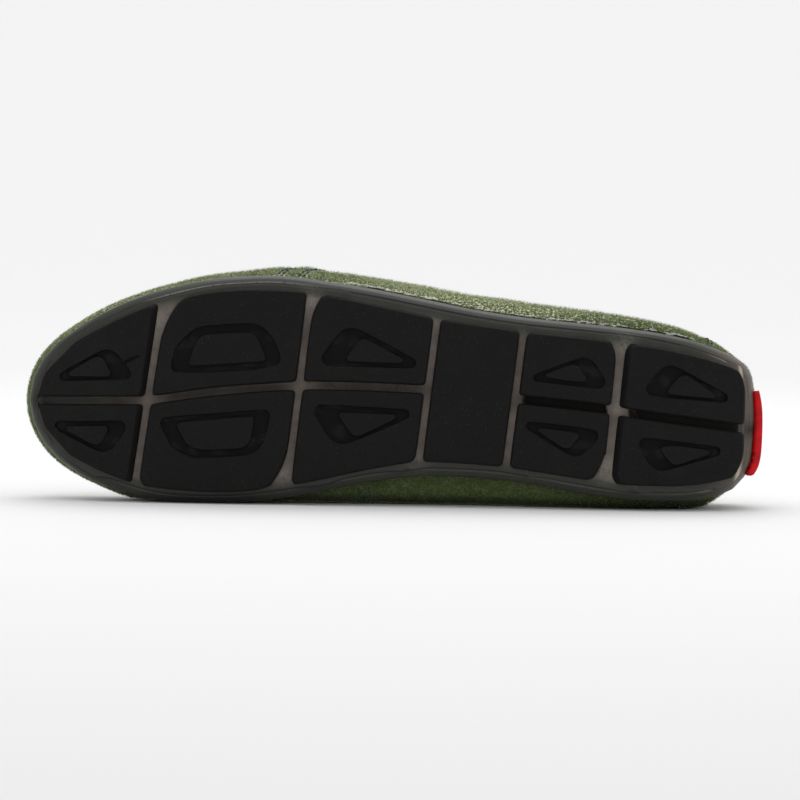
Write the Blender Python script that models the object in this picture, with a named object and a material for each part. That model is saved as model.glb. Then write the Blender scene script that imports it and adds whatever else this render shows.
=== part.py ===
# Left-foot slip-on driving shoe lying on its medial side.
# Worked out standing on its sole (toe -x, heel +x, medial +y, up +z) in millimetres,
# then turned onto its side by the empty that carries every piece.
import math

import bmesh
import bpy
import numpy as np
from mathutils import Matrix, Vector

MM = 0.001

# Lengths and heights of the sole
SOLE_LENGTH = 287.3
TOE_BREAK = 54.0
TOE_RISE = 12.0
HEEL_BREAK = 232.0
HEEL_RISE = 16.0
ARCH_FRONT = 153.0
ARCH_BACK = 199.0
ARCH_RISE = 1.2

# Levels above the tread face
PAD_HEIGHT = 3.2
PLATE_UNDER = 3.5
PLATE_TOP = 6.8
INSOLE_UNDER = 7.1
INSOLE_TOP = 9.3
MEET = 0.3

# Tread
GROOVE_WIDTH = 3.4
CENTRE_GROOVE = 3.8
PAD_DRAFT = 0.45
PAD_CHAMFER = 0.5
CHAMFER_INSET = 0.35
CHAMFER_BULGE = 0.1
END_RAKE = 1.6
RECESS_DEPTH = 1.4
RECESS_DRAFT = 0.3
ISLAND_DROP = 0.15
CORNER_CENTRE = 1.6
CORNER_LIMIT = 0.42
SLOT_DEPTH = 1.5
SLOT_WIDTH = 2.9

# Cup wall, insole and upper
CUP_INSIDE = 2.6
UPPER_INSET = 2.9
UPPER_WALL = 2.2
TUCK_DROP = 1.2
TUCK_EASE = 0.4
TUCK_RISE = 0.1
LIP_INSET = 1.0
LIP_RISE = 0.75
LOWER_ROWS = (0.45, 0.78)
INSOLE_INSET = 5.5
INSOLE_EASE = 0.7
ROUNDNESS = 2.15
SEAM_RAISE = 1.3
THROAT = 128.0
INSTEP_LEVEL = 60.0

# Heel tab
TAB_LATERAL = -4.4
TAB_MEDIAL = 29.5
TAB_FROM = 276.0
TAB_LOW = 7.0
TAB_HIGH = 17.5
TAB_PROUD = 2.7
TAB_END_PROUD = 1.7
TAB_END_TRIM = 1.6
TAB_EASE = 0.45
TAB_STEPS = 15
TAB_FINE = 60

# Plane of the floor under the medial side: lean of the sole and slant along the shoe
LEAN_DEG = -2.0
SLANT_DEG = 1.0


class Profile:
    # A table of sizes along the shoe, read between its rows by a smooth monotone curve
    def __init__(self, columns, rows, blunt_ends=False):
        self.columns = columns
        self.rows = np.array(rows, dtype=float)
        self.blunt_ends = blunt_ends
        self.place = self.along(self.rows[:, 0])

    def along(self, station):
        if not self.blunt_ends:
            return np.asarray(station, dtype=float)
        share = np.clip(np.asarray(station, dtype=float) / SOLE_LENGTH, 0.0, 1.0)
        return np.arccos(1.0 - 2.0 * share)

    def at(self, name, station):
        xs = self.place
        ys = self.rows[:, self.columns.index(name)]
        gap = np.diff(xs)
        rate = np.diff(ys) / gap
        slope = np.zeros(len(xs))
        slope[0] = rate[0]
        slope[-1] = rate[-1]
        for i in range(1, len(xs) - 1):
            if rate[i - 1] * rate[i] > 0.0:
                before = 2.0 * gap[i] + gap[i - 1]
                after = gap[i] + 2.0 * gap[i - 1]
                slope[i] = (before + after) / (before / rate[i - 1] + after / rate[i])
        x = min(max(float(self.along(station)), xs[0]), xs[-1])
        i = min(int(np.searchsorted(xs, x, side="right")) - 1, len(xs) - 2)
        t = (x - xs[i]) / gap[i]
        rise = t * t * (3.0 - 2.0 * t)
        lead = t * (1.0 - t) ** 2
        trail = t * t * (t - 1.0)
        return float(ys[i] + (ys[i + 1] - ys[i]) * rise + gap[i] * (slope[i] * lead + slope[i + 1] * trail))


# Widest line of the sole, each side of the toe-to-heel axis
OUTLINE = Profile(("station", "lateral", "medial"), (
    (0.0, 0.0, 0.0),
    (2.8, 11.8, 11.8),
    (8.7, 20.2, 20.5),
    (20.5, 28.9, 29.1),
    (38.2, 38.2, 36.2),
    (57.9, 44.5, 40.2),
    (77.6, 48.0, 40.5),
    (97.2, 48.8, 38.8),
    (117.0, 46.5, 35.6),
    (136.6, 43.3, 31.9),
    (156.0, 39.4, 30.0),
    (176.0, 35.4, 30.7),
    (196.0, 32.3, 32.9),
    (215.0, 30.3, 36.2),
    (235.0, 28.1, 39.2),
    (255.0, 24.8, 39.8),
    (268.5, 20.9, 38.6),
    (277.4, 17.3, 35.6),
    (282.2, 14.4, 31.0),
    (285.6, 9.4, 24.8),
    (287.3, -8.0, 8.0),
), blunt_ends=True)

# Plain rim left between the tread and the widest line
RIM = Profile(("station", "lateral", "medial"), (
    (0.0, 3.8, 3.8),
    (28.0, 4.8, 4.8),
    (60.0, 5.0, 4.7),
    (85.0, 5.2, 4.4),
    (122.0, 5.8, 5.1),
    (156.0, 6.7, 6.1),
    (190.0, 5.9, 5.6),
    (250.0, 6.0, 6.2),
    (287.3, 3.8, 3.8),
))

# Groove that parts the lateral pads from the medial ones
CENTRE_LINE = Profile(("station", "across"), (
    (0.0, 0.2),
    (44.0, 0.2),
    (75.6, -3.7),
    (115.0, -5.7),
    (156.0, -4.1),
    (195.0, 0.0),
    (226.0, 3.5),
    (236.0, 5.1),
    (278.0, 11.0),
    (287.3, 12.2),
))

# Cross lines of the tread: where each one meets a line 30 mm either side of the axis
CROSS_SPAN = 30.0
CROSS_LINES = {
    "toe_end": {"lateral": 3.8, "medial": 3.8, "width": 0.0},
    "toe": {"lateral": 52.0, "medial": 42.9, "width": GROOVE_WIDTH},
    "forefoot": {"lateral": 109.8, "medial": 102.5, "width": GROOVE_WIDTH},
    "ball": {"lateral": 160.6, "medial": 152.8, "width": GROOVE_WIDTH},
    "waist": {"lateral": 195.0, "medial": 187.2, "width": GROOVE_WIDTH},
    "heel": {"lateral": 233.9, "medial": 227.4, "width": 3.9},
    "heel_end": {"lateral": 282.8, "medial": 281.0, "width": 0.0},
}

# Tread pads: bounding cross lines, side, rounding of the two corners at the rim (along, across),
# share of the end rake at the front and the back, and the sunk figure and its island, each given
# as the circles (station, across, radius) that its outline is drawn round
PAD_COLUMNS = ("name", "front", "back", "side", "front_corner", "back_corner", "rake", "recess", "island")
PADS = (
    ("tread_toe_lateral", "toe_end", "toe", "lateral", (4.2, 4.2), (2.5, 2.5), (0, 1),
     ((14.6, -9.3, 2.0), (31.4, -13.8, 6.1), (38.8, -10.4, 2.4)),
     ((17.4, -10.3, 1.0), (27.8, -13.4, 3.5), (31.8, -10.4, 1.2))),
    ("tread_toe_medial", "toe_end", "toe", "medial", (4.2, 4.2), (1.8, 1.8), (0, 1),
     ((12.6, 10.3, 2.0), (36.2, 10.8, 2.8), (29.8, 14.3, 6.2)),
     ((16.4, 11.3, 1.0), (30.6, 11.4, 1.2), (27.0, 14.2, 3.4))),
    ("tread_forefoot_lateral", "toe", "forefoot", "lateral", (8.5, 19.0), (2.0, 2.0), (0, 0),
     ((59.3, -13.4, 2.8), (63.8, -17.9, 6.1), (70.5, -19.9, 9.3), (87.4, -20.9, 9.4),
      (91.0, -19.7, 7.3), (96.7, -16.3, 3.0)),
     ((65.0, -14.6, 1.2), (71.3, -20.1, 5.6), (86.5, -21.7, 4.7), (92.2, -16.5, 1.4))),
    ("tread_forefoot_medial", "toe", "forefoot", "medial", (3.2, 4.5), (8.5, 18.0), (0, 0),
     ((55.0, 9.1, 2.6), (61.5, 14.2, 6.3), (66.6, 14.8, 8.3), (85.1, 13.4, 8.5), (93.0, 6.3, 2.6)),
     ((60.5, 10.2, 1.4), (65.8, 14.2, 4.2), (69.3, 13.8, 5.8), (82.7, 13.8, 5.3), (87.6, 7.9, 1.4))),
    ("tread_ball_lateral", "forefoot", "ball", "lateral", (5.0, 14.0), (2.2, 2.2), (0, 0),
     ((118.5, -16.3, 3.0), (127.4, -21.3, 7.1), (150.4, -14.4, 2.2)),
     ((126.6, -16.3, 1.2), (132.3, -19.9, 3.9), (146.3, -15.4, 1.0))),
    ("tread_ball_medial", "forefoot", "ball", "medial", (2.6, 4.0), (2.6, 3.2), (0, 0),
     ((115.6, 4.7, 3.0), (124.1, 9.8, 7.7), (147.7, 5.7, 2.2)),
     ((123.7, 6.1, 1.2), (129.6, 10.2, 3.9), (143.4, 6.7, 1.0))),
    ("tread_waist", "ball", "waist", "whole", (2.2, 2.2), (2.2, 2.2), (0, 0), None, None),
    ("tread_heel_front_lateral", "waist", "heel", "lateral", (2.4, 3.0), (4.5, 9.0), (0, 0),
     ((199.8, -8.7, 1.6), (217.8, -10.9, 5.8), (223.7, -7.1, 2.8)),
     ((203.8, -9.6, 0.8), (213.8, -10.6, 3.3), (217.8, -8.3, 1.2))),
    ("tread_heel_front_medial", "waist", "heel", "medial", (2.2, 2.4), (6.0, 17.0), (0, 0),
     ((197.3, 10.2, 1.8), (220.9, 14.2, 2.8), (214.6, 16.3, 5.9)),
     ((201.0, 11.8, 0.8), (215.0, 14.0, 1.2), (211.1, 15.6, 3.3))),
    ("tread_heel_back_lateral", "heel", "heel_end", "lateral", (3.2, 5.0), (4.2, 4.2), (1, 0),
     ((245.4, -4.5, 3.0), (252.1, -7.1, 6.5), (273.1, -0.8, 2.0)),
     ((252.5, -3.5, 1.4), (257.7, -6.1, 3.5), (268.8, -1.6, 1.0))),
    ("tread_heel_back_medial", "heel", "heel_end", "medial", (3.5, 5.0), (4.2, 4.2), (1, 0),
     ((242.4, 17.5, 2.8), (248.7, 21.7, 6.3), (270.0, 20.2, 2.0)),
     ((249.5, 19.5, 1.2), (254.5, 21.7, 3.7), (266.4, 20.7, 1.0))),
)
PAD_STEPS_ALONG = (0.35, 0.65)
CORNER_STEPS = (0.0, 0.06, 0.25, 0.6, 1.0)
PAD_POINTS = 2 * (2 * len(CORNER_STEPS) + len(PAD_STEPS_ALONG))
FIGURE_FINE = 360
FIGURE_BEND = 8.0

# Slots sunk into the plate between the two pairs of heel pads
SLOTS = (
    {"name": "heel_front_slot", "from": 195.5, "to": 226.5},
    {"name": "heel_back_slot", "from": 237.0, "to": 278.5},
)

# Top of the cup wall above the tread face, before the toe and heel rise
WALL = Profile(("station", "top"), (
    (0.0, 11.5),
    (30.0, 12.0),
    (60.0, 13.0),
    (120.0, 13.6),
    (235.0, 13.6),
    (265.0, 16.5),
    (287.3, 20.0),
))

# Side of the cup from the plate outwards and up: inset from the widest line, share of the wall height
SIDE = (
    (4.2, 0.00),
    (3.5, 0.03),
    (3.2, 0.11),
    (2.5, 0.12),
    (1.2, 0.24),
    (0.3, 0.39),
    (0.0, 0.54),
    (0.1, 0.78),
    (0.4, 0.94),
    (0.9, 1.00),
    (2.2, 1.00),
    (2.6, 0.94),
)

# Upper: swell beyond the sole on each side, its height above the cup wall,
# height of the ridge over the instep, its place across and the top line
UPPER = Profile(("station", "lateral", "medial", "swell", "ridge", "across", "top_line"), (
    (0.0, 1.6, 1.6, 5.0, 40.0, 0.0, 40.0),
    (28.0, 1.7, 1.0, 6.5, 43.0, 0.0, 43.0),
    (45.0, 1.3, 2.0, 8.0, 46.5, -1.0, 46.5),
    (64.0, 1.2, 3.5, 9.5, 52.0, -3.0, 52.0),
    (85.0, 1.4, 4.5, 11.0, 59.5, -4.0, 59.5),
    (107.0, 3.0, 8.0, 12.5, 66.0, -4.0, 66.0),
    (128.0, 3.6, 12.0, 13.5, 70.5, -3.0, 70.5),
    (146.0, 4.0, 14.0, 13.5, 71.0, -1.0, 63.0),
    (166.0, 4.2, 15.0, 13.0, 70.0, 1.0, 57.0),
    (186.0, 5.2, 15.0, 11.5, 69.5, 2.0, 53.5),
    (206.0, 4.8, 12.0, 7.5, 70.0, 3.5, 52.5),
    (226.0, 4.2, 9.0, 4.6, 71.0, 5.5, 53.5),
    (245.0, 3.4, 6.0, 3.2, 73.0, 7.5, 56.5),
    (265.0, 2.0, 2.5, 3.6, 76.0, 9.0, 60.5),
    (276.0, 0.3, -0.8, 4.5, 77.5, 9.5, 62.5),
    (281.0, -0.6, -1.6, 5.0, 78.0, 10.0, 63.5),
    (287.3, 0.4, 0.4, 5.0, 78.5, 10.0, 64.0),
))

# Fans of sections round the toe and the heel: the ridge stops short of the sole's ends
TOE_FAN = {"reach": 60.0, "ridge": 28.0, "bend": 1.3}
HEEL_FAN = {"reach": 225.0, "ridge": 250.0, "bend": 1.3}

# Shares of the arc from the widest line to the ridge, the apron seam among them
ARC_ROWS = (0.0, 0.15, 0.30, 0.45, 0.58, 0.615, 0.645, 0.675, 0.71, 0.82, 0.91, 1.0)
SEAM_ROW = 0.645
SEAM_FADE = (138.0, 168.0)

STATIONS = (0.0, 1.5, 5.5, 11.5, 19.0, 28.0, 38.0, 49.0, 61.0, 73.0, 85.0, 97.0, 108.0, 117.0,
            124.0, THROAT, 131.0, 135.0, 141.0, 149.0, 156.0, 162.0, 168.5, 175.0, 181.5, 188.0,
            194.5, 201.0,
            213.0, 225.0, 237.0, 247.0, 256.0, 264.0, 271.0, 277.5, 282.5, 285.7, SOLE_LENGTH)
LAST = len(STATIONS) - 1
CLOSE = 1e-6


def spring(station):
    toe = TOE_RISE * max(0.0, (TOE_BREAK - station) / TOE_BREAK) ** 2
    heel = HEEL_RISE * max(0.0, (station - HEEL_BREAK) / (SOLE_LENGTH - HEEL_BREAK)) ** 2
    arch = 0.0
    if ARCH_FRONT < station < ARCH_BACK:
        arch = ARCH_RISE * math.sin(math.pi * (station - ARCH_FRONT) / (ARCH_BACK - ARCH_FRONT)) ** 2
    return toe + heel + arch


def wall_top(station):
    return WALL.at("top", station) + spring(station)


def outline_loop(stations):
    # toe tip, lateral side back to the heel, medial side forward again
    lateral = [(s, -OUTLINE.at("lateral", s)) for s in stations]
    medial = [(s, OUTLINE.at("medial", s)) for s in stations]
    return np.array(lateral + medial[-2:0:-1])


def inward(loop):
    before = loop - np.roll(loop, 1, axis=0)
    after = np.roll(loop, -1, axis=0) - loop
    before /= np.linalg.norm(before, axis=1)[:, None]
    after /= np.linalg.norm(after, axis=1)[:, None]
    way = before + after
    way /= np.linalg.norm(way, axis=1)[:, None]
    return np.stack((-way[:, 1], way[:, 0]), axis=1)


LOOP = outline_loop(STATIONS)
LOOP_IN = inward(LOOP)
LOOP_STATION = LOOP[:, 0].copy()


def ring(inset, level):
    # the sole's outline drawn in by an inset, each point at its own level
    flat = LOOP + LOOP_IN * inset
    return [(p[0], p[1], level(s) + spring(s)) for p, s in zip(flat, LOOP_STATION)]


def make_object(name, mesh, material, carrier):
    piece = bpy.data.objects.new(name, mesh)
    bpy.context.scene.collection.objects.link(piece)
    mesh.materials.append(material)
    piece.parent = carrier
    return piece


def make_material(name, colour, roughness, metallic=0.0):
    material = bpy.data.materials.new(name)
    material.use_nodes = True
    shader = material.node_tree.nodes["Principled BSDF"]
    shader.inputs["Base Color"].default_value = (*colour, 1.0)
    shader.inputs["Roughness"].default_value = roughness
    shader.inputs["Metallic"].default_value = metallic
    material.diffuse_color = (*colour, 1.0)
    return material


def solid_from_rings(name, rings, pointed):
    # skins rings of equal count; both ends are closed by rungs from side to side
    bm = bmesh.new()
    layers = [[bm.verts.new((p[0] * MM, p[1] * MM, p[2] * MM)) for p in one] for one in rings]
    count = len(layers[0])
    for low, high in zip(layers[:-1], layers[1:]):
        for k in range(count):
            n = (k + 1) % count
            bm.faces.new((low[k], low[n], high[n], high[k]))
    for layer in (layers[0], layers[-1]):
        if pointed:
            half = count // 2
            bm.faces.new((layer[0], layer[1], layer[-1]))
            for k in range(1, half - 1):
                bm.faces.new((layer[k], layer[k + 1], layer[count - k - 1], layer[count - k]))
            bm.faces.new((layer[half - 1], layer[half], layer[half + 1]))
        else:
            for k in range(count // 2 - 1):
                bm.faces.new((layer[k], layer[k + 1], layer[count - 2 - k], layer[count - 1 - k]))
    bmesh.ops.recalc_face_normals(bm, faces=bm.faces)
    mesh = bpy.data.meshes.new(name)
    bm.to_mesh(mesh)
    bm.free()
    return mesh


def smooth_shade(mesh, angle):
    mesh.shade_smooth()
    mesh.set_sharp_from_angle(angle=math.radians(angle))


# Outsole
def side_rings():
    rings = []
    for inset, rise in SIDE:
        rings.append(ring(inset, lambda s, r=rise: PLATE_UNDER + r * (WALL.at("top", s) - PLATE_UNDER)))
    return rings


def outsole_mesh():
    rings = side_rings()
    rings.append(ring(CUP_INSIDE, lambda s: PLATE_TOP))
    return solid_from_rings("outsole", rings, pointed=True)


def slot_mesh(slot):
    stations = np.linspace(slot["from"], slot["to"], 7)
    rings = []
    for s in stations:
        y = CENTRE_LINE.at("across", s)
        low = PLATE_UNDER - PAD_HEIGHT + spring(s)
        high = PLATE_UNDER + SLOT_DEPTH + spring(s)
        half = SLOT_WIDTH / 2.0
        rings.append([(s, y - half, low), (s, y + half, low), (s, y + half, high), (s, y - half, high)])
    return solid_from_rings(slot["name"], rings, pointed=False)


# Tread
RIM_STATIONS = SOLE_LENGTH * (1.0 - np.cos(np.linspace(0.0, math.pi, 121))) / 2.0
RIM_LOOP = outline_loop(tuple(RIM_STATIONS))
RIM_IN = inward(RIM_LOOP)


def rim_line(side):
    count = len(RIM_STATIONS)
    if side == "lateral":
        picks = list(range(count))
    else:
        picks = [0] + list(range(len(RIM_LOOP) - 1, count - 1, -1)) + [count - 1]
    points = [RIM_LOOP[k] + RIM_IN[k] * RIM.at(side, RIM_LOOP[k][0]) for k in picks]
    return np.array(points)


RIM_LINES = {"lateral": rim_line("lateral"), "medial": rim_line("medial")}


def rim_across(side, station):
    line = RIM_LINES[side]
    return float(np.interp(station, line[:, 0], line[:, 1]))


def cross_station(name, y):
    line = CROSS_LINES[name]
    share = (y + CROSS_SPAN) / (2.0 * CROSS_SPAN)
    return line["lateral"] + (line["medial"] - line["lateral"]) * share


def pad_edges(pad, station):
    if pad["side"] == "whole":
        return rim_across("lateral", station), rim_across("medial", station)
    sign = -1.0 if pad["side"] == "lateral" else 1.0
    centre = CENTRE_LINE.at("across", station) + sign * CENTRE_GROOVE / 2.0
    return centre, rim_across(pad["side"], station)


def pad_point(pad, u, v):
    front = CROSS_LINES[pad["front"]]["width"] / 2.0
    back = CROSS_LINES[pad["back"]]["width"] / 2.0
    y = 0.0
    station = 0.0
    for _ in range(6):
        start = cross_station(pad["front"], y) + front
        end = cross_station(pad["back"], y) - back
        station = start + (end - start) * u
        near, far = pad_edges(pad, station)
        y = near + (far - near) * v
    return station, y


def pad_length(pad):
    return math.dist(pad_point(pad, 0.0, 0.5), pad_point(pad, 1.0, 0.5))


def pad_width(pad, u):
    return math.dist(pad_point(pad, u, 0.0), pad_point(pad, u, 1.0))


def corner_short(into, along, across):
    # how far a rounded corner draws the side in, at a distance from the pad's end
    if into >= along:
        return 0.0
    return across * (1.0 - math.sqrt(max(0.0, 1.0 - (1.0 - into / along) ** 2)))


def pad_loop(pad, inset, raked):
    # a four-sided cell with rounded corners, shrunk all round by the inset and at the raked ends
    length = pad_length(pad)
    front_in = inset + raked * pad["rake"][0] * END_RAKE
    back_in = inset + raked * pad["rake"][1] * END_RAKE
    centre = (CORNER_CENTRE, CORNER_CENTRE)
    rim = (pad["front_corner"], pad["back_corner"])
    near_corners = rim if pad["side"] == "whole" else (centre, centre)
    steps = [c * rim[0][0] / length for c in CORNER_STEPS]
    steps += PAD_STEPS_ALONG
    steps += [1.0 - c * rim[1][0] / length for c in reversed(CORNER_STEPS)]
    near, far = [], []
    for u in steps:
        here = (front_in + (length - front_in - back_in) * u) / length
        width = pad_width(pad, here)
        for corners, store, at_rim in ((near_corners, near, False), (rim, far, True)):
            short = corner_short(u * length, *corners[0])
            short = max(short, corner_short((1.0 - u) * length, *corners[1]))
            share = (min(short, CORNER_LIMIT * width) + inset) / width
            store.append(pad_point(pad, here, 1.0 - share if at_rim else share))
    return near + far[::-1]


def figure_loop(pad, circles, grow):
    # outline drawn round the circles, going round in step with the pad's own loop
    turn = -1.0 if pad["side"] == "lateral" else 1.0
    dense = []
    for k in range(FIGURE_FINE + 1):
        angle = math.pi + turn * 2.0 * math.pi * k / FIGURE_FINE
        way = (math.cos(angle), math.sin(angle))
        s, y, radius = max(circles, key=lambda c: c[0] * way[0] + c[1] * way[1] + c[2])
        dense.append((s + way[0] * (radius + grow), y + way[1] * (radius + grow)))
    dense = np.array(dense)
    steps = np.linalg.norm(np.diff(dense, axis=0), axis=1) + FIGURE_BEND * 2.0 * math.pi / FIGURE_FINE
    run = np.concatenate(((0.0,), np.cumsum(steps)))
    marks = (np.arange(PAD_POINTS) + 0.5) / PAD_POINTS * run[-1]
    return list(zip(np.interp(marks, run, dense[:, 0]), np.interp(marks, run, dense[:, 1])))


def lift(loop, level):
    return [(s, y, level + spring(s)) for s, y in loop]


def pad_mesh(pad):
    rings = [
        lift(pad_loop(pad, -PAD_DRAFT, 0.0), PAD_HEIGHT),
        lift(pad_loop(pad, -CHAMFER_BULGE, 1.0), PAD_CHAMFER),
        lift(pad_loop(pad, CHAMFER_INSET, 1.0), 0.0),
    ]
    if pad["recess"]:
        rings += [
            lift(figure_loop(pad, pad["recess"], 0.0), 0.0),
            lift(figure_loop(pad, pad["recess"], -RECESS_DRAFT), RECESS_DEPTH),
            lift(figure_loop(pad, pad["island"], RECESS_DRAFT), RECESS_DEPTH),
            lift(figure_loop(pad, pad["island"], 0.0), ISLAND_DROP),
        ]
    return solid_from_rings(pad["name"], rings, pointed=False)


# Insole
def insole_mesh():
    rings = [
        ring(INSOLE_INSET, lambda s: INSOLE_UNDER),
        ring(INSOLE_INSET, lambda s: INSOLE_TOP - INSOLE_EASE),
        ring(INSOLE_INSET + INSOLE_EASE, lambda s: INSOLE_TOP),
    ]
    return solid_from_rings("insole", rings, pointed=True)


# Floor plane that the medial side rests on, touched by the sole's edge at the ball
SLANT = math.tan(math.radians(SLANT_DEG))
LEAN = math.tan(math.radians(LEAN_DEG))


def floor_across(station, level):
    return FLOOR_START + SLANT * station + LEAN * level


def find_floor():
    reach = [y - SLANT * s - LEAN * z for one in side_rings() for s, y, z in one]
    return max(reach)


FLOOR_START = find_floor()


# Upper
def ridge_station(station):
    if station < TOE_FAN["reach"]:
        share = (station / TOE_FAN["reach"]) ** TOE_FAN["bend"]
        return TOE_FAN["ridge"] + (TOE_FAN["reach"] - TOE_FAN["ridge"]) * share
    if station > HEEL_FAN["reach"]:
        share = ((SOLE_LENGTH - station) / (SOLE_LENGTH - HEEL_FAN["reach"])) ** HEEL_FAN["bend"]
        return HEEL_FAN["ridge"] - (HEEL_FAN["ridge"] - HEEL_FAN["reach"]) * share
    return station


def seam_raise(station, share):
    if abs(share - SEAM_ROW) > CLOSE:
        return 0.0
    fade = (station - SEAM_FADE[0]) / (SEAM_FADE[1] - SEAM_FADE[0])
    return SEAM_RAISE * (1.0 - min(max(fade, 0.0), 1.0))


def upper_column(k):
    # one rising line of the upper, from its tuck inside the cup to the ridge or the top line
    station = LOOP_STATION[k]
    side = "lateral" if k <= LAST else "medial"
    foot = LOOP[k]
    into = LOOP_IN[k]
    top = wall_top(station)
    tuck = foot + into * UPPER_INSET
    eased = tuck - into * TUCK_EASE
    lip = foot + into * LIP_INSET
    lip_level = top + LIP_RISE
    points = [
        (tuck[0], tuck[1], PLATE_TOP + MEET + spring(station)),
        (tuck[0], tuck[1], top - TUCK_DROP),
        (eased[0], eased[1], top + TUCK_RISE),
        (lip[0], lip[1], lip_level),
    ]
    wide_level = top + UPPER.at("swell", station)
    wide = foot - into * UPPER.at(side, station)
    if side == "medial":
        wide[1] = min(wide[1], floor_across(wide[0], wide_level))
    for share in LOWER_ROWS:
        arc = math.sin(share * math.pi / 2.0)
        climb = 1.0 - math.cos(share * math.pi / 2.0)
        spot = lip + (wide - lip) * arc
        points.append((spot[0], spot[1], lip_level + (wide_level - lip_level) * climb))
    ridge_at = ridge_station(station)
    ridge = np.array((ridge_at, UPPER.at("across", ridge_at)))
    ridge_level = UPPER.at("ridge", ridge_at if station < THROAT else station)
    height = ridge_level - wide_level
    limit = math.pi / 2.0
    if station > THROAT + CLOSE:
        share = (UPPER.at("top_line", station) - wide_level) / height
        limit = math.asin(min(1.0, share) ** (ROUNDNESS / 2.0))
    power = 2.0 / ROUNDNESS
    for share in ARC_ROWS:
        turn = share * limit
        over = 1.0 - max(math.cos(turn), 0.0) ** power
        up = math.sin(turn) ** power
        spot = wide + (ridge - wide) * over
        out = seam_raise(station, share)
        reach = np.linalg.norm(ridge - wide)
        aside = (wide - ridge) / reach
        spot = spot + aside * out * math.cos(turn)
        points.append((spot[0], spot[1], wide_level + height * up + out * math.sin(turn)))
    return points


def upper_mesh():
    bm = bmesh.new()
    count = len(LOOP)
    columns = []
    ridge = {}
    for k in range(count):
        column = []
        points = upper_column(k)
        station = LOOP_STATION[k]
        for row, p in enumerate(points):
            last = row == len(points) - 1
            key = round(station, 3)
            closed = last and station <= THROAT + CLOSE
            if closed and key in ridge:
                column.append(ridge[key])
                continue
            vert = bm.verts.new((p[0] * MM, p[1] * MM, p[2] * MM))
            if closed:
                ridge[key] = vert
            column.append(vert)
        columns.append(column)
    for k in range(count):
        here = columns[k]
        there = columns[(k + 1) % count]
        for row in range(len(here) - 1):
            corners = []
            for vert in (here[row], there[row], there[row + 1], here[row + 1]):
                if vert not in corners:
                    corners.append(vert)
            bm.faces.new(corners)
    bmesh.ops.recalc_face_normals(bm, faces=bm.faces)
    upward = sum(f.normal.z for f in bm.faces if f.calc_center_median().z > INSTEP_LEVEL * MM)
    if upward < 0.0:
        bmesh.ops.reverse_faces(bm, faces=bm.faces)
    mesh = bpy.data.meshes.new("upper")
    bm.to_mesh(mesh)
    bm.free()
    return mesh


# Heel tab
def tab_mesh():
    loop = outline_loop(tuple(np.linspace(TAB_FROM, SOLE_LENGTH, TAB_FINE)))
    into = inward(loop)
    picks = [k for k in range(1, len(loop) - 1) if TAB_LATERAL <= loop[k][1] <= TAB_MEDIAL]
    steps = np.linspace(picks[0], picks[-1], TAB_STEPS).round().astype(int)
    rings = []
    for n, k in enumerate(steps):
        t = 2.0 * n / (len(steps) - 1) - 1.0
        bow = math.sqrt(max(0.0, 1.0 - t * t))
        proud = TAB_END_PROUD + (TAB_PROUD - TAB_END_PROUD) * bow
        trim = TAB_END_TRIM * (1.0 - bow)
        s = loop[k][0]
        low = TAB_LOW + trim + spring(s)
        high = TAB_HIGH - trim + spring(s)
        back = loop[k] - into[k] * MEET
        face = loop[k] - into[k] * proud
        eased = face + into[k] * TAB_EASE
        rings.append([
            (back[0], back[1], low),
            (eased[0], eased[1], low),
            (face[0], face[1], low + TAB_EASE),
            (face[0], face[1], high - TAB_EASE),
            (eased[0], eased[1], high),
            (back[0], back[1], high),
        ])
    return solid_from_rings("heel_tab", rings, pointed=False)


def lay_down(carrier, pieces):
    # the floor plane's outward normal is turned to point straight down
    normal = Vector((-SLANT, 1.0, -LEAN)).normalized()
    on_side = Matrix.Rotation(-math.pi / 2.0, 3, "X")
    settle = (on_side @ normal).rotation_difference(Vector((0.0, 0.0, -1.0))).to_matrix()
    turned = settle @ on_side
    spots = np.array([turned @ v.co for piece in pieces for v in piece.data.vertices])
    low = spots.min(axis=0)
    high = spots.max(axis=0)
    carrier.rotation_euler = turned.to_euler()
    carrier.location = (-(low[0] + high[0]) / 2.0, -(low[1] + high[1]) / 2.0, -low[2])


def build():
    for old in list(bpy.data.objects):
        bpy.data.objects.remove(old, do_unlink=True)

    carrier = bpy.data.objects.new("shoe", None)
    bpy.context.scene.collection.objects.link(carrier)
    pieces = []

    rubber = make_material("smoky_rubber", (0.120, 0.108, 0.092), 0.35)
    outsole = make_object("outsole", outsole_mesh(), rubber, carrier)
    smooth_shade(outsole.data, 35.0)
    pieces.append(outsole)
    for slot in SLOTS:
        cutter = make_object(slot["name"], slot_mesh(slot), rubber, carrier)
        cutter.hide_render = True
        cutter.display_type = "WIRE"
        cut = outsole.modifiers.new(slot["name"], "BOOLEAN")
        cut.operation = "DIFFERENCE"
        cut.solver = "EXACT"
        cut.object = cutter

    black = make_material("black_tread_rubber", (0.016, 0.015, 0.015), 0.62)
    for row in PADS:
        pad = dict(zip(PAD_COLUMNS, row))
        piece = make_object(pad["name"], pad_mesh(pad), black, carrier)
        pieces.append(piece)

    suede = make_material("green_suede", (0.075, 0.120, 0.040), 0.95)
    upper = make_object("upper", upper_mesh(), suede, carrier)
    smooth_shade(upper.data, 50.0)
    wall = upper.modifiers.new("wall", "SOLIDIFY")
    wall.thickness = UPPER_WALL * MM
    wall.offset = -1.0
    wall.use_even_offset = True
    pieces.append(upper)

    sock = make_material("insole_leather", (0.300, 0.220, 0.130), 0.70)
    pieces.append(make_object("insole", insole_mesh(), sock, carrier))

    red = make_material("red_rubber", (0.550, 0.010, 0.014), 0.45)
    pieces.append(make_object("heel_tab", tab_mesh(), red, carrier))

    lay_down(carrier, pieces)


build()
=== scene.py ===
import math
import random

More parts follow.
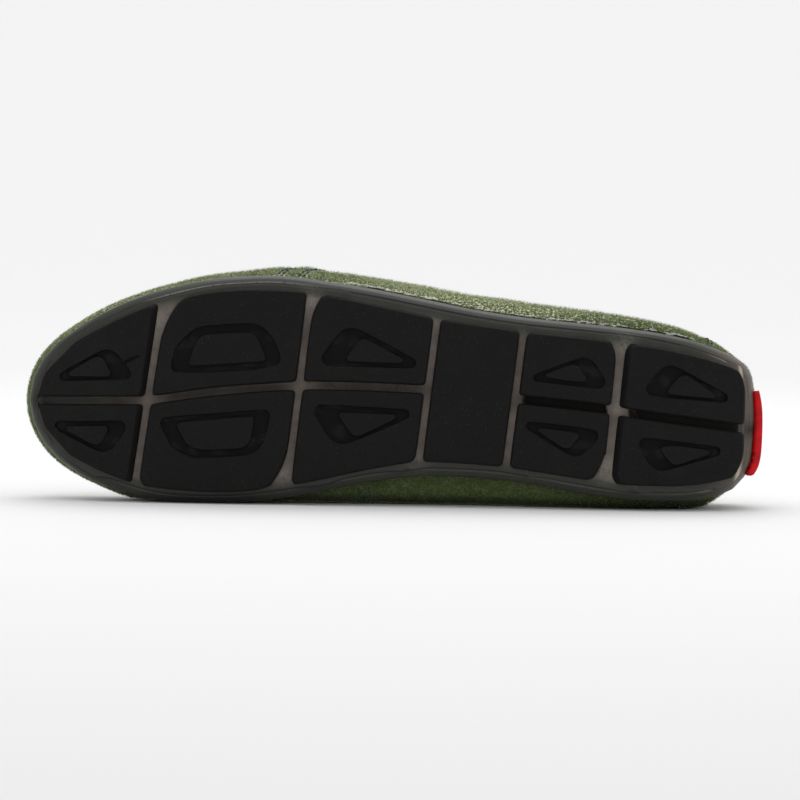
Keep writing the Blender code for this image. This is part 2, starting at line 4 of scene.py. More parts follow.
import bmesh
import bpy
from mathutils import Euler, Matrix, Vector
from mathutils.bvhtree import BVHTree
from mathutils.kdtree import KDTree


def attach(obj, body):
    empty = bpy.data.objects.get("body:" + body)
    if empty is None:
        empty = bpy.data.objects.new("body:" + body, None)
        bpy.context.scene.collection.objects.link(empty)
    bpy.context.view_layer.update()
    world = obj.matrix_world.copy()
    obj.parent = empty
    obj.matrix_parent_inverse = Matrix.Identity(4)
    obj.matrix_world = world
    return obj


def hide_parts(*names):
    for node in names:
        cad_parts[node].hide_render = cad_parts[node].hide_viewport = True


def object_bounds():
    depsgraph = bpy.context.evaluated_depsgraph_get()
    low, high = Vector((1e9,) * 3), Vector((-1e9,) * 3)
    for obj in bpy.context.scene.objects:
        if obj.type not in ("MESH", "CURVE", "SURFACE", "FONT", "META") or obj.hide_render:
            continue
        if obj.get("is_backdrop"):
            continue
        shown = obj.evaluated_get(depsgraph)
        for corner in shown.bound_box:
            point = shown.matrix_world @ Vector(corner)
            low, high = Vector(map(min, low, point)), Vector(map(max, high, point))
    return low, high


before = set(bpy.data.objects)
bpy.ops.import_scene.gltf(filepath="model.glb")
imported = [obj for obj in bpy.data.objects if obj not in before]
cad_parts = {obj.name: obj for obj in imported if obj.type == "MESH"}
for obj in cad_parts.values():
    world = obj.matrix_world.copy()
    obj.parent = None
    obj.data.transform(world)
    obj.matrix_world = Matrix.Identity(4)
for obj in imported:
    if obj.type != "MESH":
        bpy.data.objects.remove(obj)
cadLow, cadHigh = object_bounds()
print("frame loaded:", len(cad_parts), "nodes")

# How the standing shoe lies on its side: station from the toe, across (medial +), level, all in mm
shoe = {
    "place": (-0.1441071, -0.0346904, 0.0395278),
    "turnDeg": (-91.999998, -0.999391, 0.017445),
    "length": 287.3,
    "toeBreak": 54.0, "toeRise": 12.0,
    "heelBreak": 232.0, "heelRise": 16.0,
    "arch": (153.0, 199.0), "archRise": 1.2,
    "axis": ((0, 0.0), (45, -1.0), (85, -4.0), (128, -3.0), (166, 1.0), (206, 3.5), (245, 7.5), (287, 10.0)),
    "groove": ((0, 0.2), (44, 0.2), (75.6, -3.7), (115, -5.7), (156, -4.1), (195, 0.0), (226, 3.5),
               (236, 5.1), (278, 11.0), (287, 12.2)),
    "core": ((0, 22.0), (40, 24.0), (90, 30.0), (130, 36.0), (287, 36.0)),
    "coreEnds": (40.0, 245.0), "sideLevel": 36.0,
    "floorGap": 0.0002,
}
mm = 0.001
turnShoe = Euler([math.radians(a) for a in shoe["turnDeg"]]).to_matrix()
shoeToRoom = Matrix.Translation(shoe["place"]) @ turnShoe.to_4x4()
roomToShoe = shoeToRoom.inverted()


def atShoe(station, across, level):
    return shoeToRoom @ (Vector((station, across, level)) * mm)


def inShoe(spot):
    return (roomToShoe @ spot) / mm


def between(table, x):  # straight steps between the rows of a two-column table
    if x <= table[0][0]:
        return table[0][1]
    for (x0, y0), (x1, y1) in zip(table[:-1], table[1:]):
        if x <= x1:
            return y0 + (y1 - y0) * (x - x0) / (x1 - x0)
    return table[-1][1]


def smooth(low, high, x):
    t = min(max((x - low) / (high - low), 0.0), 1.0)
    return t * t * (3.0 - 2.0 * t)


def hump(x, width):
    return math.exp(-(x / width) ** 2)


def spring(station):  # rise of the sole at the toe, the arch and the heel
    toe = shoe["toeRise"] * max(0.0, (shoe["toeBreak"] - station) / shoe["toeBreak"]) ** 2
    heel = max(0.0, (station - shoe["heelBreak"]) / (shoe["length"] - shoe["heelBreak"]))
    first, last = shoe["arch"]
    arch = math.sin(math.pi * min(max((station - first) / (last - first), 0.0), 1.0)) ** 2
    return toe + shoe["archRise"] * arch + shoe["heelRise"] * heel ** 2


def outward(co, normal):
    spot = inShoe(co)
    way = roomToShoe.to_3x3() @ normal
    first, last = shoe["coreEnds"]
    station = min(max(spot.x, first), last)
    middle = Vector((station, between(shoe["axis"], spot.x), between(shoe["core"], spot.x)))
    return way.dot(spot - middle) > 0.0


# Shader sockets as numbers: an expression on wires adds its Math nodes
class Wire:
    def __init__(self, finish, socket):
        self.finish = finish
        self.socket = socket

    def math(self, operation, *values):
        return self.finish.node("ShaderNodeMath", {"operation": operation}, dict(enumerate(values)))

    def __add__(self, other):
        return self.math("ADD", self, other)

    def __radd__(self, other):
        return self.math("ADD", other, self)

    def __sub__(self, other):
        return self.math("SUBTRACT", self, other)

    def __rsub__(self, other):
        return self.math("SUBTRACT", other, self)

    def __mul__(self, other):
        return self.math("MULTIPLY", self, other)

    def __rmul__(self, other):
        return self.math("MULTIPLY", other, self)

    def __truediv__(self, other):
        return self.math("DIVIDE", self, other)

    def __pow__(self, other):
        return self.math("POWER", self, other)

    def above(self, low, high):  # 0 under low, 1 over high, soft between
        sockets = {"Value": self, "From Min": low, "From Max": high}
        return self.finish.node("ShaderNodeMapRange", {"interpolation_type": "SMOOTHSTEP"}, sockets)

    def most(self, other):
        return self.math("MAXIMUM", self, other)

    def least(self, other):
        return self.math("MINIMUM", self, other)


class Finish:
    def __init__(self, name, plain):
        self.material = bpy.data.materials.new(name)
        self.material.use_nodes = True
        self.tree = self.material.node_tree
        self.shader = self.tree.nodes["Principled BSDF"]
        for key, value in plain.items():
            self.shader.inputs[key].default_value = value
        self.spot = self.node("ShaderNodeTexCoord", {}, {}, "Object")  # room metres
        sockets = {"Vector": self.spot, "Location": shoe["place"], "Scale": (mm, mm, mm)}
        sockets["Rotation"] = [math.radians(a) for a in shoe["turnDeg"]]
        self.place = self.node("ShaderNodeMapping", {"vector_type": "TEXTURE"}, sockets)  # shoe mm

    def node(self, kind, settings, sockets, out=0):
        made = self.tree.nodes.new(kind)
        for key, value in settings.items():
            setattr(made, key, value)
        for key, value in sockets.items():
            if isinstance(value, Wire):
                self.tree.links.new(value.socket, made.inputs[key])
            else:
                made.inputs[key].default_value = value
        return Wire(self, made.outputs[out])

    def split(self, vector):
        made = self.node("ShaderNodeSeparateXYZ", {}, {"Vector": vector})
        return [Wire(self, s) for s in made.socket.node.outputs]

    def noise(self, scale, detail=2.0, rough=0.5, vector=None):
        sockets = {"Vector": vector or self.place, "Scale": scale, "Detail": detail, "Roughness": rough}
        return self.node("ShaderNodeTexNoise", {}, sockets, "Fac")

    def cells(self, scale, vector=None):
        sockets = {"Vector": vector or self.place, "Scale": scale}
        return self.node("ShaderNodeTexVoronoi", {}, sockets, "Distance")

    def painted(self, name):  # a value kept on the mesh's points
        return self.node("ShaderNodeAttribute", {"attribute_name": name}, {}, "Fac")

    def stretched(self, x, y, z):  # shoe mm with each direction drawn out
        return self.node("ShaderNodeVectorMath", {"operation": "MULTIPLY"}, {0: self.place, 1: (x, y, z)})

    def mix(self, share, first, second):
        sockets = {0: share}
        for key, value in ((6, first), (7, second)):
            sockets[key] = value if isinstance(value, Wire) else (*value, 1.0)
        return self.node("ShaderNodeMix", {"data_type": "RGBA"}, sockets, 2)

    def roundMarks(self, spots, station, across):  # soft round marks at listed spots of the sole
        total = None
        for s, y, radius, strength in spots:
            off = ((station - s) ** 2.0 + (across - y) ** 2.0) ** 0.5
            mark = (1.0 - (off / radius).least(1.0)) ** 1.5 * strength
            total = mark if total is None else total.most(mark)
        return total

    def bump(self, height, distance, strength=1.0, after=None):
        sockets = {"Height": height, "Distance": distance, "Strength": strength}
        if after:
            sockets["Normal"] = after
        return self.node("ShaderNodeBump", {}, sockets)

    def wear(self, **sockets):
        names = {"colour": "Base Color", "roughness": "Roughness", "normal": "Normal", "coat": "Coat Weight",
                 "glow": "Emission Color"}
        for key, value in sockets.items():
            self.tree.links.new(value.socket, self.shader.inputs[names[key]])
        return self.material


def dressPiece(name, mesh, finishes, replaced=()):
    piece = bpy.data.objects.new(name, mesh)
    bpy.context.scene.collection.objects.link(piece)
    mesh.materials.clear()
    for finish in finishes:
        mesh.materials.append(finish)
    mesh.shade_smooth()
    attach(piece, "root")
    if replaced:
        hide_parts(*replaced)
    return piece


def meshFrom(bm, name):
    mesh = bpy.data.meshes.new(name)
    bm.to_mesh(mesh)
    bm.free()
    return mesh


def copyNode(node, flatDeg):  # merged copy of a solid, its triangles paired again
    bm = bmesh.new()
    bm.from_mesh(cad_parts[node].data)
    bmesh.ops.remove_doubles(bm, verts=bm.verts, dist=0.00002)
    flat = math.radians(flatDeg)
    bmesh.ops.join_triangles(bm, faces=bm.faces, angle_face_threshold=flat, angle_shape_threshold=math.pi)
    return bm


def sharpEdges(bm, sharpDeg):
    return [e for e in bm.edges if len(e.link_faces) == 2 and e.calc_face_angle() > math.radians(sharpDeg)]


def creased(bm, sharpDeg, crease):
    layer = bm.edges.layers.float.new("crease_edge")
    for edge in sharpEdges(bm, sharpDeg):
        edge[layer] = crease
    return bm


def eased(bm, sharpDeg, radius):
    bmesh.ops.bevel(bm, geom=sharpEdges(bm, sharpDeg), offset=radius * mm, offset_type="OFFSET",
                    affect="EDGES", segments=2, profile=0.5, material=-1, clamp_overlap=True)
    return bm


def rounded(bm, levels, fitting=0):  # the bmesh as a subdivided mesh, drawn back through the solid's points
    mesh = meshFrom(bm, "rounded")
    carrier = bpy.data.objects.new("rounded", mesh)
    bpy.context.scene.collection.objects.link(carrier)
    skin = carrier.modifiers.new("skin", "SUBSURF")
    skin.levels = levels
    skin.render_levels = levels
    wanted = [v.co.copy() for v in mesh.vertices]
    for step in range(fitting + 1):
        mesh.update()
        carrier.update_tag()
        bpy.context.view_layer.update()
        seen = bpy.context.evaluated_depsgraph_get()
        result = bpy.data.meshes.new_from_object(carrier.evaluated_get(seen))
        if step < fitting:
            for vert, want, got in zip(mesh.vertices, wanted, result.vertices):
                vert.co += 0.8 * (want - got.co)
            bpy.data.meshes.remove(result)
    bpy.data.objects.remove(carrier)
    return result


# Finishes of the rubber
# tread deep: near-black painted shade for the recess floors of the moulded figures and for the nick's cut
tread = {
    "black": (0.0052, 0.0050, 0.0048), "deep": (0.0008, 0.0008, 0.0008), "dust": (0.050, 0.047, 0.044),
    "nick": [(39.2 + 0.8 * k, -15.0 - 0.36 * k, 1.25 - 0.08 * k, 1.0) for k in range(7)],
    "grainMm": 0.05, "nickMm": 0.8,
}


def blackTread():
    f = Finish("black_tread_rubber", {"Specular IOR Level": 0.13})
    grain = f.noise(2.6, 3.0, 0.6)
    cloud = f.noise(0.05, 4.0, 0.6)
    fleck = (1.0 - f.cells(0.62) / 0.16).most(0.0)
    chosen = f.noise(0.31, 1.0).above(0.38, 0.56)
    mottle = f.noise(1.1, 3.0, 0.7)
    dust = fleck * chosen * 0.9 + cloud.above(0.45, 0.80) * 0.06 + mottle.above(0.52, 0.74) * 0.14
    # painted shade: the recess floors lose most dust specks and, with the nick's cut, are mixed towards the
    # near-black deep
    sunken = f.painted("sunken")
    colour = f.mix((dust * (1.0 - 0.7 * sunken)).least(1.0), tread["black"], tread["dust"])
    station, across = f.split(f.place)[:2]
    nick = f.roundMarks(tread["nick"], station, across)
    colour = f.mix((sunken * 0.45 + nick).least(1.0), colour, tread["deep"])
    roughness = (0.56 + 0.20 * cloud + 0.15 * sunken + nick).least(1.0)
    cut = f.bump(1.0 - nick, tread["nickMm"] * mm)
    return f.wear(colour=colour, roughness=roughness, normal=f.bump(grain, tread["grainMm"] * mm, 0.8, cut))


cup = {
    # slot is the heel slots' black, and is also mixed in as painted shade at the rim's top edge, along the
    # lateral rib and near the floor
    "floor": (0.180, 0.152, 0.128), "deep": (0.108, 0.090, 0.074), "slot": (0.006, 0.005, 0.004),
    # middle is painted shade for the centre groove; crossings are the spots where that shade is lighter
    "middle": (0.016, 0.013, 0.010),
    "crossings": ((48.0, 0.2, 11.0, 0.9), (108.0, -5.5, 11.0, 0.9), (157.0, -4.0, 9.0, 0.5),
                  (190.0, 0.0, 9.0, 0.8), (231.0, 4.5, 12.0, 1.0)),
    "rim": (0.031, 0.032, 0.026), "heelRim": (0.125, 0.104, 0.085),
    # the pale smear colour also paints the highlight along the rib; cream paints the highlight at the heel's
    # corners
    "cream": (0.620, 0.550, 0.430), "smearAndHighlight": (0.300, 0.285, 0.260),
    "smears": ((110.5, -38.0, 9.0, 0.55), (101.0, 28.0, 10.0, 0.45), (160.0, -18.0, 12.0, 0.22),
               (152.0, 22.0, 10.0, 0.35), (231.0, 0.0, 12.0, 0.22), (190.0, 14.0, 9.0, 0.25),
               (234.0, -22.0, 9.0, 0.45), (227.0, 27.0, 9.0, 0.45), (52.0, -30.0, 9.0, 0.40)),
}


def smokyRubber():
    f = Finish("smoky_rubber", {"Specular IOR Level": 0.22, "Coat Roughness": 0.10})
    station, across = f.split(f.place)[:2]
    cloud = f.noise(0.11, 4.0, 0.6)
    fine = f.noise(0.9, 3.0, 0.6)
    grain = f.noise(3.0, 2.0)
    edge = f.painted("rim")
    floor = f.mix(cloud.above(0.35, 0.72), cup["deep"], cup["floor"])
    heel = station.above(262.0, 284.0) * 0.8
    rim = f.mix(heel, cup["rim"], cup["heelRim"])
    colour = f.mix(edge, floor, rim)
    smears = f.roundMarks(cup["smears"], station, across) * fine.above(0.25, 0.75) + fine.above(0.68, 0.85) * 0.08
    crossing = f.roundMarks(cup["crossings"], station, across)
    # painted shade: the centre groove mixed towards near-black, less where the cross grooves meet it
    colour = f.mix(f.painted("middle") * (1.0 - crossing) * 0.95, colour, cup["middle"])
    colour = f.mix((smears * (1.0 - 0.3 * edge)).least(0.8), colour, cup["smearAndHighlight"])
    lateral = (0.0 - across).above(0.0, 12.0)
    # painted highlight: a pale line along the rim's rib, strongest on the lateral toe
    ribHighlight = (lateral * (1.0 - station.above(90.0, 140.0)) * 0.6 + 0.10) * station.above(20.0, 36.0)
    climb = f.painted("climb")
    rib = climb.above(0.095, 0.118) * (1.0 - climb.above(0.118, 0.141))
    colour = f.mix(rib * fine.above(0.30, 0.5) * ribHighlight, colour, cup["smearAndHighlight"])
    # painted highlight: cream along the rib at the heel's corners
    beside = ((0.0 - across).above(0.0, 5.0) + across.above(16.0, 22.0)).least(1.0)
    corners = station.above(262.0, 274.0) * beside
    colour = f.mix(rib * corners * 0.7, colour, cup["cream"])
    # painted shade: a dark line along the lateral rib, from the ball to the heel
    ribShade = lateral * station.above(100.0, 125.0) * (1.0 - station.above(256.0, 266.0))
    colour = f.mix(rib * ribShade * 0.8, colour, cup["slot"])
    # painted shade: the top edge of the rim, in the gap under the upper, mixed towards near-black
    colour = f.mix(climb.above(0.90, 0.99) * 0.9, colour, cup["slot"])
    # painted shade: darker towards the floor, where the cup meets it
    height = f.split(f.spot)[2]
    colour = f.mix(0.85 - 0.85 * height.above(0.0005, 0.0050), colour, cup["slot"])
    slot = f.painted("slot")
    colour = f.mix(slot, colour, cup["slot"])
    roughness = 0.42 - 0.12 * edge + 0.22 * fine + 0.45 * slot
    relief = grain * 0.4 + fine * 0.6
    coat = (0.03 + 0.05 * edge) * (1.0 - slot)
    return f.wear(colour=colour, roughness=roughness, coat=coat, normal=f.bump(relief, 0.06 * mm, 0.5))


tab = {"red": (0.600, 0.004, 0.007), "deep": (0.420, 0.003, 0.006)}


def redRubber():
    f = Finish("red_rubber", {"Specular IOR Level": 0.18, "Coat Roughness": 0.2, "Coat Weight": 0.03})
    cloud = f.noise(0.25, 3.0)
    grain = f.noise(3.2, 2.0)
    colour = f.mix(cloud.above(0.35, 0.7), tab["red"], tab["deep"])
    return f.wear(colour=colour, roughness=0.36 + 0.14 * grain, normal=f.bump(grain, 0.05 * mm, 0.5))


suede = {
    "dark": (0.044, 0.066, 0.018), "mid": (0.076, 0.110, 0.032), "pale": (0.230, 0.275, 0.120),
    # the last two colours here: a near-white painted highlight for the lateral side, and a near-black painted
    # shade for the rim gap and the floor
    "frost": (0.620, 0.640, 0.530), "paintedSidelight": (0.860, 0.900, 0.620), "paintedShade": (0.004, 0.006, 0.003),
    "napMm": 0.22, "lumpMm": 0.20,
}


def greenSuede(name, lift, frost=0.12):
    f = Finish(name, {"Specular IOR Level": 0.08, "Sheen Weight": 0.6, "Sheen Roughness": 0.40,
                      "Sheen Tint": (0.80, 0.92, 0.52, 1.0)})
    brushed = f.noise(0.035, 3.0, 0.5, f.stretched(1.0, 1.6, 1.6))
    patch = f.noise(0.45, 3.0, 0.6)
    nap = f.noise(1.25, 3.0, 0.65, f.stretched(0.8, 1.1, 1.1))
    pile = f.noise(3.2, 2.0, 0.6)
    tone = f.mix((brushed * 0.5 + patch * 0.5).above(0.30, 0.70), suede["dark"], suede["mid"])
    tuft = nap.above(0.46, 0.63)
    light = tuft * 0.55 + pile.above(0.52, 0.75) * 0.25 + lift
    colour = f.mix(light.least(0.9), tone, suede["pale"])
    station, across, level = f.split(f.place)
    # painted highlight: the lateral side low by the sole painted near white on the tufts, where grazing light
    # catches the fibres, palest along the middle of the shoe
    paintedSidelight = (0.0 - across).above(14.0, 36.0) * (1.0 - level.above(24.0, 44.0)) * (0.08 + 0.92 * tuft)
    palest = station.above(115.0, 155.0) * (1.0 - station.above(190.0, 255.0))
    colour = f.mix(paintedSidelight * (0.50 + 0.48 * palest), colour, suede["paintedSidelight"])
    worn = f.noise(0.30, 3.0, 0.65).above(0.48, 0.68) * f.noise(1.6, 1.0).above(0.45, 0.62) * frost
    colour = f.mix(worn, colour, suede["frost"])
    height = f.split(f.spot)[2]
    tucked = f.painted("tucked").above(1.25, 1.85) * 0.9
    shadeShare = tucked.most(1.0 - height.above(0.0005, 0.0055))  # painted shade: the gap beside the lateral rim and the contact with the floor
    colour = f.mix(shadeShare, colour, suede["paintedShade"])
    rise = nap * 0.7 + pile * 0.3
    lumps = f.bump(patch, suede["lumpMm"] * mm, 0.4)
    pileUp = f.bump(rise, suede["napMm"] * mm, 0.9, lumps)
    return f.wear(colour=colour, roughness=0.86 + 0.10 * patch, normal=pileUp)


lining = {"pale": (0.340, 0.280, 0.200), "dark": (0.250, 0.200, 0.138)}


def liningLeather(name, grainScale):
    f = Finish(name, {"Specular IOR Level": 0.3})
    pores = f.cells(grainScale)
    cloud = f.noise(0.03, 3.0)
    fine = f.noise(2.0, 3.0)
    colour = f.mix((cloud * 0.6 + fine * 0.4).above(0.3, 0.7), lining["dark"], lining["pale"])
    height = pores * 0.7 + fine * 0.3
    return f.wear(colour=colour, roughness=0.55 + 0.2 * fine, normal=f.bump(height, 0.12 * mm, 0.7))


thread = {"dark": (0.004, 0.011, 0.014), "light": (0.150, 0.215, 0.210)}


def waxedThread(name, dark, light):
    f = Finish(name, {"Specular IOR Level": 0.35})
    ply = f.noise(2.2, 2.0)
    colour = f.mix(ply.above(0.50, 0.64), dark, light)
    return f.wear(colour=colour, roughness=0.45 + 0.2 * ply, normal=f.bump(ply, 0.08 * mm, 0.7))


# near-white flecks: partly the cement's own colour, partly painted glints
cementGlint = {"white": (0.780, 0.770, 0.740), "grey": (0.420, 0.410, 0.390)}


def glintingCement():
    f = Finish("cement_and_glint", {"Specular IOR Level": 0.4})
    crumb = f.noise(1.8, 3.0)
    colour = f.mix(crumb.above(0.4, 0.6), cementGlint["grey"], cementGlint["white"])
    return f.wear(colour=colour, roughness=0.30 + 0.25 * crumb, normal=f.bump(crumb, 0.10 * mm, 0.6))


cementFinish = glintingCement()
blackFinish = blackTread()
smokyFinish = smokyRubber()
redFinish = redRubber()
suedeFinish = greenSuede("green_suede", 0.0)
bindingFinish = greenSuede("green_suede_binding", 0.03)
napFinish = greenSuede("green_suede_nap", 0.20, 0.75)
liningFinish = liningLeather("lining_leather", 1.1)
sockFinish = liningLeather("insole_leather", 0.8)
threadFinish = waxedThread("waxed_thread", thread["dark"], thread["light"])
print("finishes made")

# Tread pads: the solids with their edges eased
padEdge = {"flatDeg": 40.0, "sharpDeg": 24.0, "radius": 0.22, "levels": 1, "wallFrom": 2.6, "wallClear": 2.0}
for node in sorted(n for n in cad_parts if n.startswith("tread_")):
    bm = eased(copyNode(node, padEdge["flatDeg"]), padEdge["sharpDeg"], padEdge["radius"])
    mesh = rounded(bm, padEdge["levels"])
    spots = [inShoe(v.co) for v in mesh.vertices]
    outer = [s for s in spots if s.z - spring(s.x) > padEdge["wallFrom"]]
    wall = KDTree(len(outer))
    for k, spot in enumerate(outer):
        wall.insert((spot.x, spot.y, 0.0), k)
    wall.balance()
    sunken = mesh.attributes.new("sunken", "FLOAT", "POINT")
    for spot, value in zip(spots, sunken.data):  # the moulded figures, away from the pad's own edge
        if wall.find((spot.x, spot.y, 0.0))[2] > padEdge["wallClear"]:
            value.value = smooth(0.2, 0.9, spot.z - spring(spot.x))
    dressPiece("rounded_" + node, mesh, [blackFinish], [node])
print("tread pads eased")

# Cup of the sole
cupEdge = {
    "wallTop": ((0, 11.5), (30, 12.0), (60, 13.0), (120, 13.6), (235, 13.6), (265, 16.5), (287.3, 20.0)),
    "flatDeg": 9.0, "sharpDeg": 11.0, "crease": 0.70, "levels": 2, "fitting": 2,
    "plate": 3.9, "plateTop": 5.6, "fineMm": 2.5, "passes": 4,
    "wallFoot": 3.5, "widest": (6.5, 10.0), "margin": (4.4, 7.6),
    "slots": ((195.5, 226.5), (237.0, 278.5)), "slotHalf": 1.9, "slotSoft": 0.8, "grooveHalf": 3.2,
}
bm = creased(copyNode("outsole", cupEdge["flatDeg"]), cupEdge["sharpDeg"], cupEdge["crease"])
cupMesh = rounded(bm, cupEdge["levels"], cupEdge["fitting"])
bm = bmesh.new()
bm.from_mesh(cupMesh)
for step in range(cupEdge["passes"]):  # the plate fine enough for the values painted on its points, the centre groove's painted shade among them
    long = [e for e in bm.edges if e.calc_length() > cupEdge["fineMm"] * mm
            and max(inShoe(v.co).z - spring(inShoe(v.co).x) for v in e.verts) < cupEdge["plateTop"]]
    bmesh.ops.subdivide_edges(bm, edges=long, cuts=1, use_grid_fill=True)
cupMesh = meshFrom(bm, "smoky_cup")
print("cup faces:", len(cupMesh.polygons))
cupSpots = [inShoe(v.co) for v in cupMesh.vertices]
lowest, highest = cupEdge["widest"]
outer = [s for s, v in zip(cupSpots, cupMesh.vertices)
         if lowest < s.z - spring(s.x) < highest and outward(v.co, v.normal)]
widest = KDTree(len(outer))
for k, spot in enumerate(outer):
    widest.insert((spot.x, spot.y, 0.0), k)
widest.balance()
painted = ("rim", "climb", "slot", "middle")
for name in painted:
    cupMesh.attributes.new(name, "FLOAT", "POINT")
for spot, edge, climb, sunk, middle in zip(cupSpots, *[cupMesh.attributes[name].data for name in painted]):
    height = spot.z - spring(spot.x)
    inset = widest.find((spot.x, spot.y, 0.0))[2]
    margin = 1.0 - smooth(*cupEdge["margin"], inset)
    edge.value = max(smooth(0.1, 0.9, height - cupEdge["plate"]), margin)
    foot = cupEdge["wallFoot"]
    climb.value = (height - foot) / (between(cupEdge["wallTop"], spot.x) - foot)
    # where the centre groove lies, for its painted shade
    middle.value = hump(spot.y - between(shoe["groove"], spot.x), cupEdge["grooveHalf"])
    if any(a - 1.0 < spot.x < b + 1.0 for a, b in cupEdge["slots"]):
        off = abs(spot.y - between(shoe["groove"], spot.x))
        sunk.value = 1.0 - smooth(cupEdge["slotHalf"], cupEdge["slotHalf"] + cupEdge["slotSoft"], off)
dressPiece("smoky_cup", cupMesh, [smokyFinish], ["outsole"])

# Tab and sock
tabEdge = {"flatDeg": 40.0, "sharpDeg": 30.0, "crease": 0.75, "levels": 2, "fitting": 2, "bedded": 1.2}
bm = creased(copyNode("heel_tab", tabEdge["flatDeg"]), tabEdge["sharpDeg"], tabEdge["crease"])
tabMesh = rounded(bm, tabEdge["levels"], tabEdge["fitting"])
for vert in tabMesh.vertices:  # its inner face beds into the heel rubber
    if (roomToShoe.to_3x3() @ vert.normal).x < -0.5:
        vert.co -= turnShoe @ Vector((tabEdge["bedded"] * mm, 0.0, 0.0))
dressPiece("red_heel_tab", tabMesh, [redFinish], ["heel_tab"])
sockEdge = {"flatDeg": 40.0, "sharpDeg": 30.0, "crease": 0.6, "levels": 2, "fitting": 2}
bm = creased(copyNode("insole", sockEdge["flatDeg"]), sockEdge["sharpDeg"], sockEdge["crease"])
sockMesh = rounded(bm, sockEdge["levels"], sockEdge["fitting"])
dressPiece("leather_sock", sockMesh, [sockFinish], ["insole"])
print("cup, tab and sock made")

# Upper: apron seam, laps and creases worked into the lasted wall
upper = {
    "flatDeg": 60.0, "sharpDeg": 60.0, "crease": 0.35, "levels": 2, "fitting": 2,
    "rimDeg": 55.0, "collarLevel": 45.0, "collarMiddle": (205.0, 4.0), "wall": (2.0, 2.4),
}
apron = {  # raised hand-sewn seam round the toe: station, across, level
    "path": ((142, -38.2, 56), (136, -35.4, 60), (131, -32, 63), (124, -29.2, 65), (108, -30.6, 61.7),
             (97, -30.7, 59), (85, -30.1, 55.6), (73, -29.3, 51.8), (61, -27.6, 48.1), (50, -25.4, 45.7),
             (41, -23, 44.1), (32.6, -20.2, 43), (25.4, -17, 42.3), (19.5, -13.8, 42), (14.9, -10, 42),
             (12, -5.3, 42), (10.9, 0, 42), (12, 5.3, 42), (15, 10, 42), (19.6, 13.8, 42),
             (25.6, 16.7, 42.3), (32.9, 19, 43), (41, 21, 44.1), (50.3, 21.8, 45.7), (61, 21.6, 48.4),
             (73, 21.2, 51.8), (85, 21.1, 55.6), (97, 21.2, 59), (108.7, 21.3, 61.7), (125, 21.8, 65),
             (132, 25.9, 63), (136.4, 29.6, 60), (142.4, 33.3, 56)),
    "ridge": 0.75, "ridgeWidth": 1.3, "valley": 0.45, "valleyAt": 3.2, "valleyWidth": 1.4,
    "gather": 0.32, "gatherPitch": 5.4, "gatherReach": 7.0, "gatherBack": 92.0, "gatherFade": 60.0,
    "reach": 22.0, "ends": 10.0, "fineReach": 9.0,
}
# Edges of panels that lie over their neighbours: side, station at the sole, drift up the side, way on top
laps = (
    {"side": 1, "foot": 134.6, "drift": 0.17, "over": -1, "step": 0.85, "rows": (0.8, 2.7, 4.6)},
    {"side": -1, "foot": 109.0, "drift": 0.50, "over": -1, "step": 0.85, "rows": (0.8, 2.7, 9.6, 11.5)},
    {"side": 1, "foot": 255.0, "drift": 0.14, "over": 1, "step": 0.85, "rows": (0.9, 2.8)},
    {"side": -1, "foot": 268.0, "drift": -0.06, "over": 1, "step": 0.85, "rows": (0.9, 2.8)},
)
lapBase = 14.0
lapFade = 16.0
lapCut = 0.3
lapSpan = 45.0
# Creases: both ends in shoe mm, depth and half width
creases = (
    {"ends": ((90, -24, 58), (95, 15, 59)), "depth": 1.4, "width": 2.6},
    {"ends": ((101, -26, 62), (104, 17, 63)), "depth": 1.8, "width": 3.0},
    {"ends": ((112, -25, 65), (113, 16, 66)), "depth": 1.2, "width": 2.6},
    {"ends": ((92, -44, 34), (108, -37, 55)), "depth": 1.4, "width": 3.0},
    {"ends": ((102, -48, 30), (120, -40, 52)), "depth": 1.0, "width": 2.6},
    {"ends": ((100, 38, 36), (116, 30, 55)), "depth": 1.2, "width": 3.0},
    {"ends": ((150, -42, 40), (185, -36, 27)), "depth": 1.5, "width": 4.0},
    {"ends": ((158, -40, 50), (196, -33, 38)), "depth": 1.2, "width": 3.4},
    {"ends": ((160, 41, 34), (200, 41, 46)), "depth": 1.2, "width": 4.0},
    {"ends": ((236, -27, 44), (262, -18, 36)), "depth": 1.2, "width": 3.6},
    {"ends": ((232, 42, 30), (258, 36, 44)), "depth": 1.0, "width": 3.6},
    {"ends": ((270, -10, 50), (276, 22, 48)), "depth": 1.0, "width": 3.0},
)


def smoothPath(points, pitch, closed=False):  # a curve through the points, marked off at even steps
    points = [Vector(p) for p in points]
    count = len(points)
    dense = []
    for k in range(count if closed else count - 1):
        if closed:
            p0, p1, p2, p3 = (points[(k + d) % count] for d in (-1, 0, 1, 2))
        else:
            p0, p1, p2, p3 = (points[min(max(k + d, 0), count - 1)] for d in (-1, 0, 1, 2))
        for n in range(12):
            t = n / 12.0
            dense.append(0.5 * (2.0 * p1 + (p2 - p0) * t + (2.0 * p0 - 5.0 * p1 + 4.0 * p2 - p3) * t ** 2
                                + (3.0 * p1 - p0 - 3.0 * p2 + p3) * t ** 3))
    dense.append(points[0] if closed else points[-1])
    length = sum((b - a).length for a, b in zip(dense[:-1], dense[1:]))
    step = length / max(1, round(length / pitch))
    marks = [dense[0]]
    run = 0.0
    for a, b in zip(dense[:-1], dense[1:]):
        gap = (b - a).length
        while gap > 0.0 and run + gap >= step * len(marks) - 1e-9:
            marks.append(a.lerp(b, min(1.0, (step * len(marks) - run) / gap)))
        run += gap
    return marks[:-1] if closed else marks


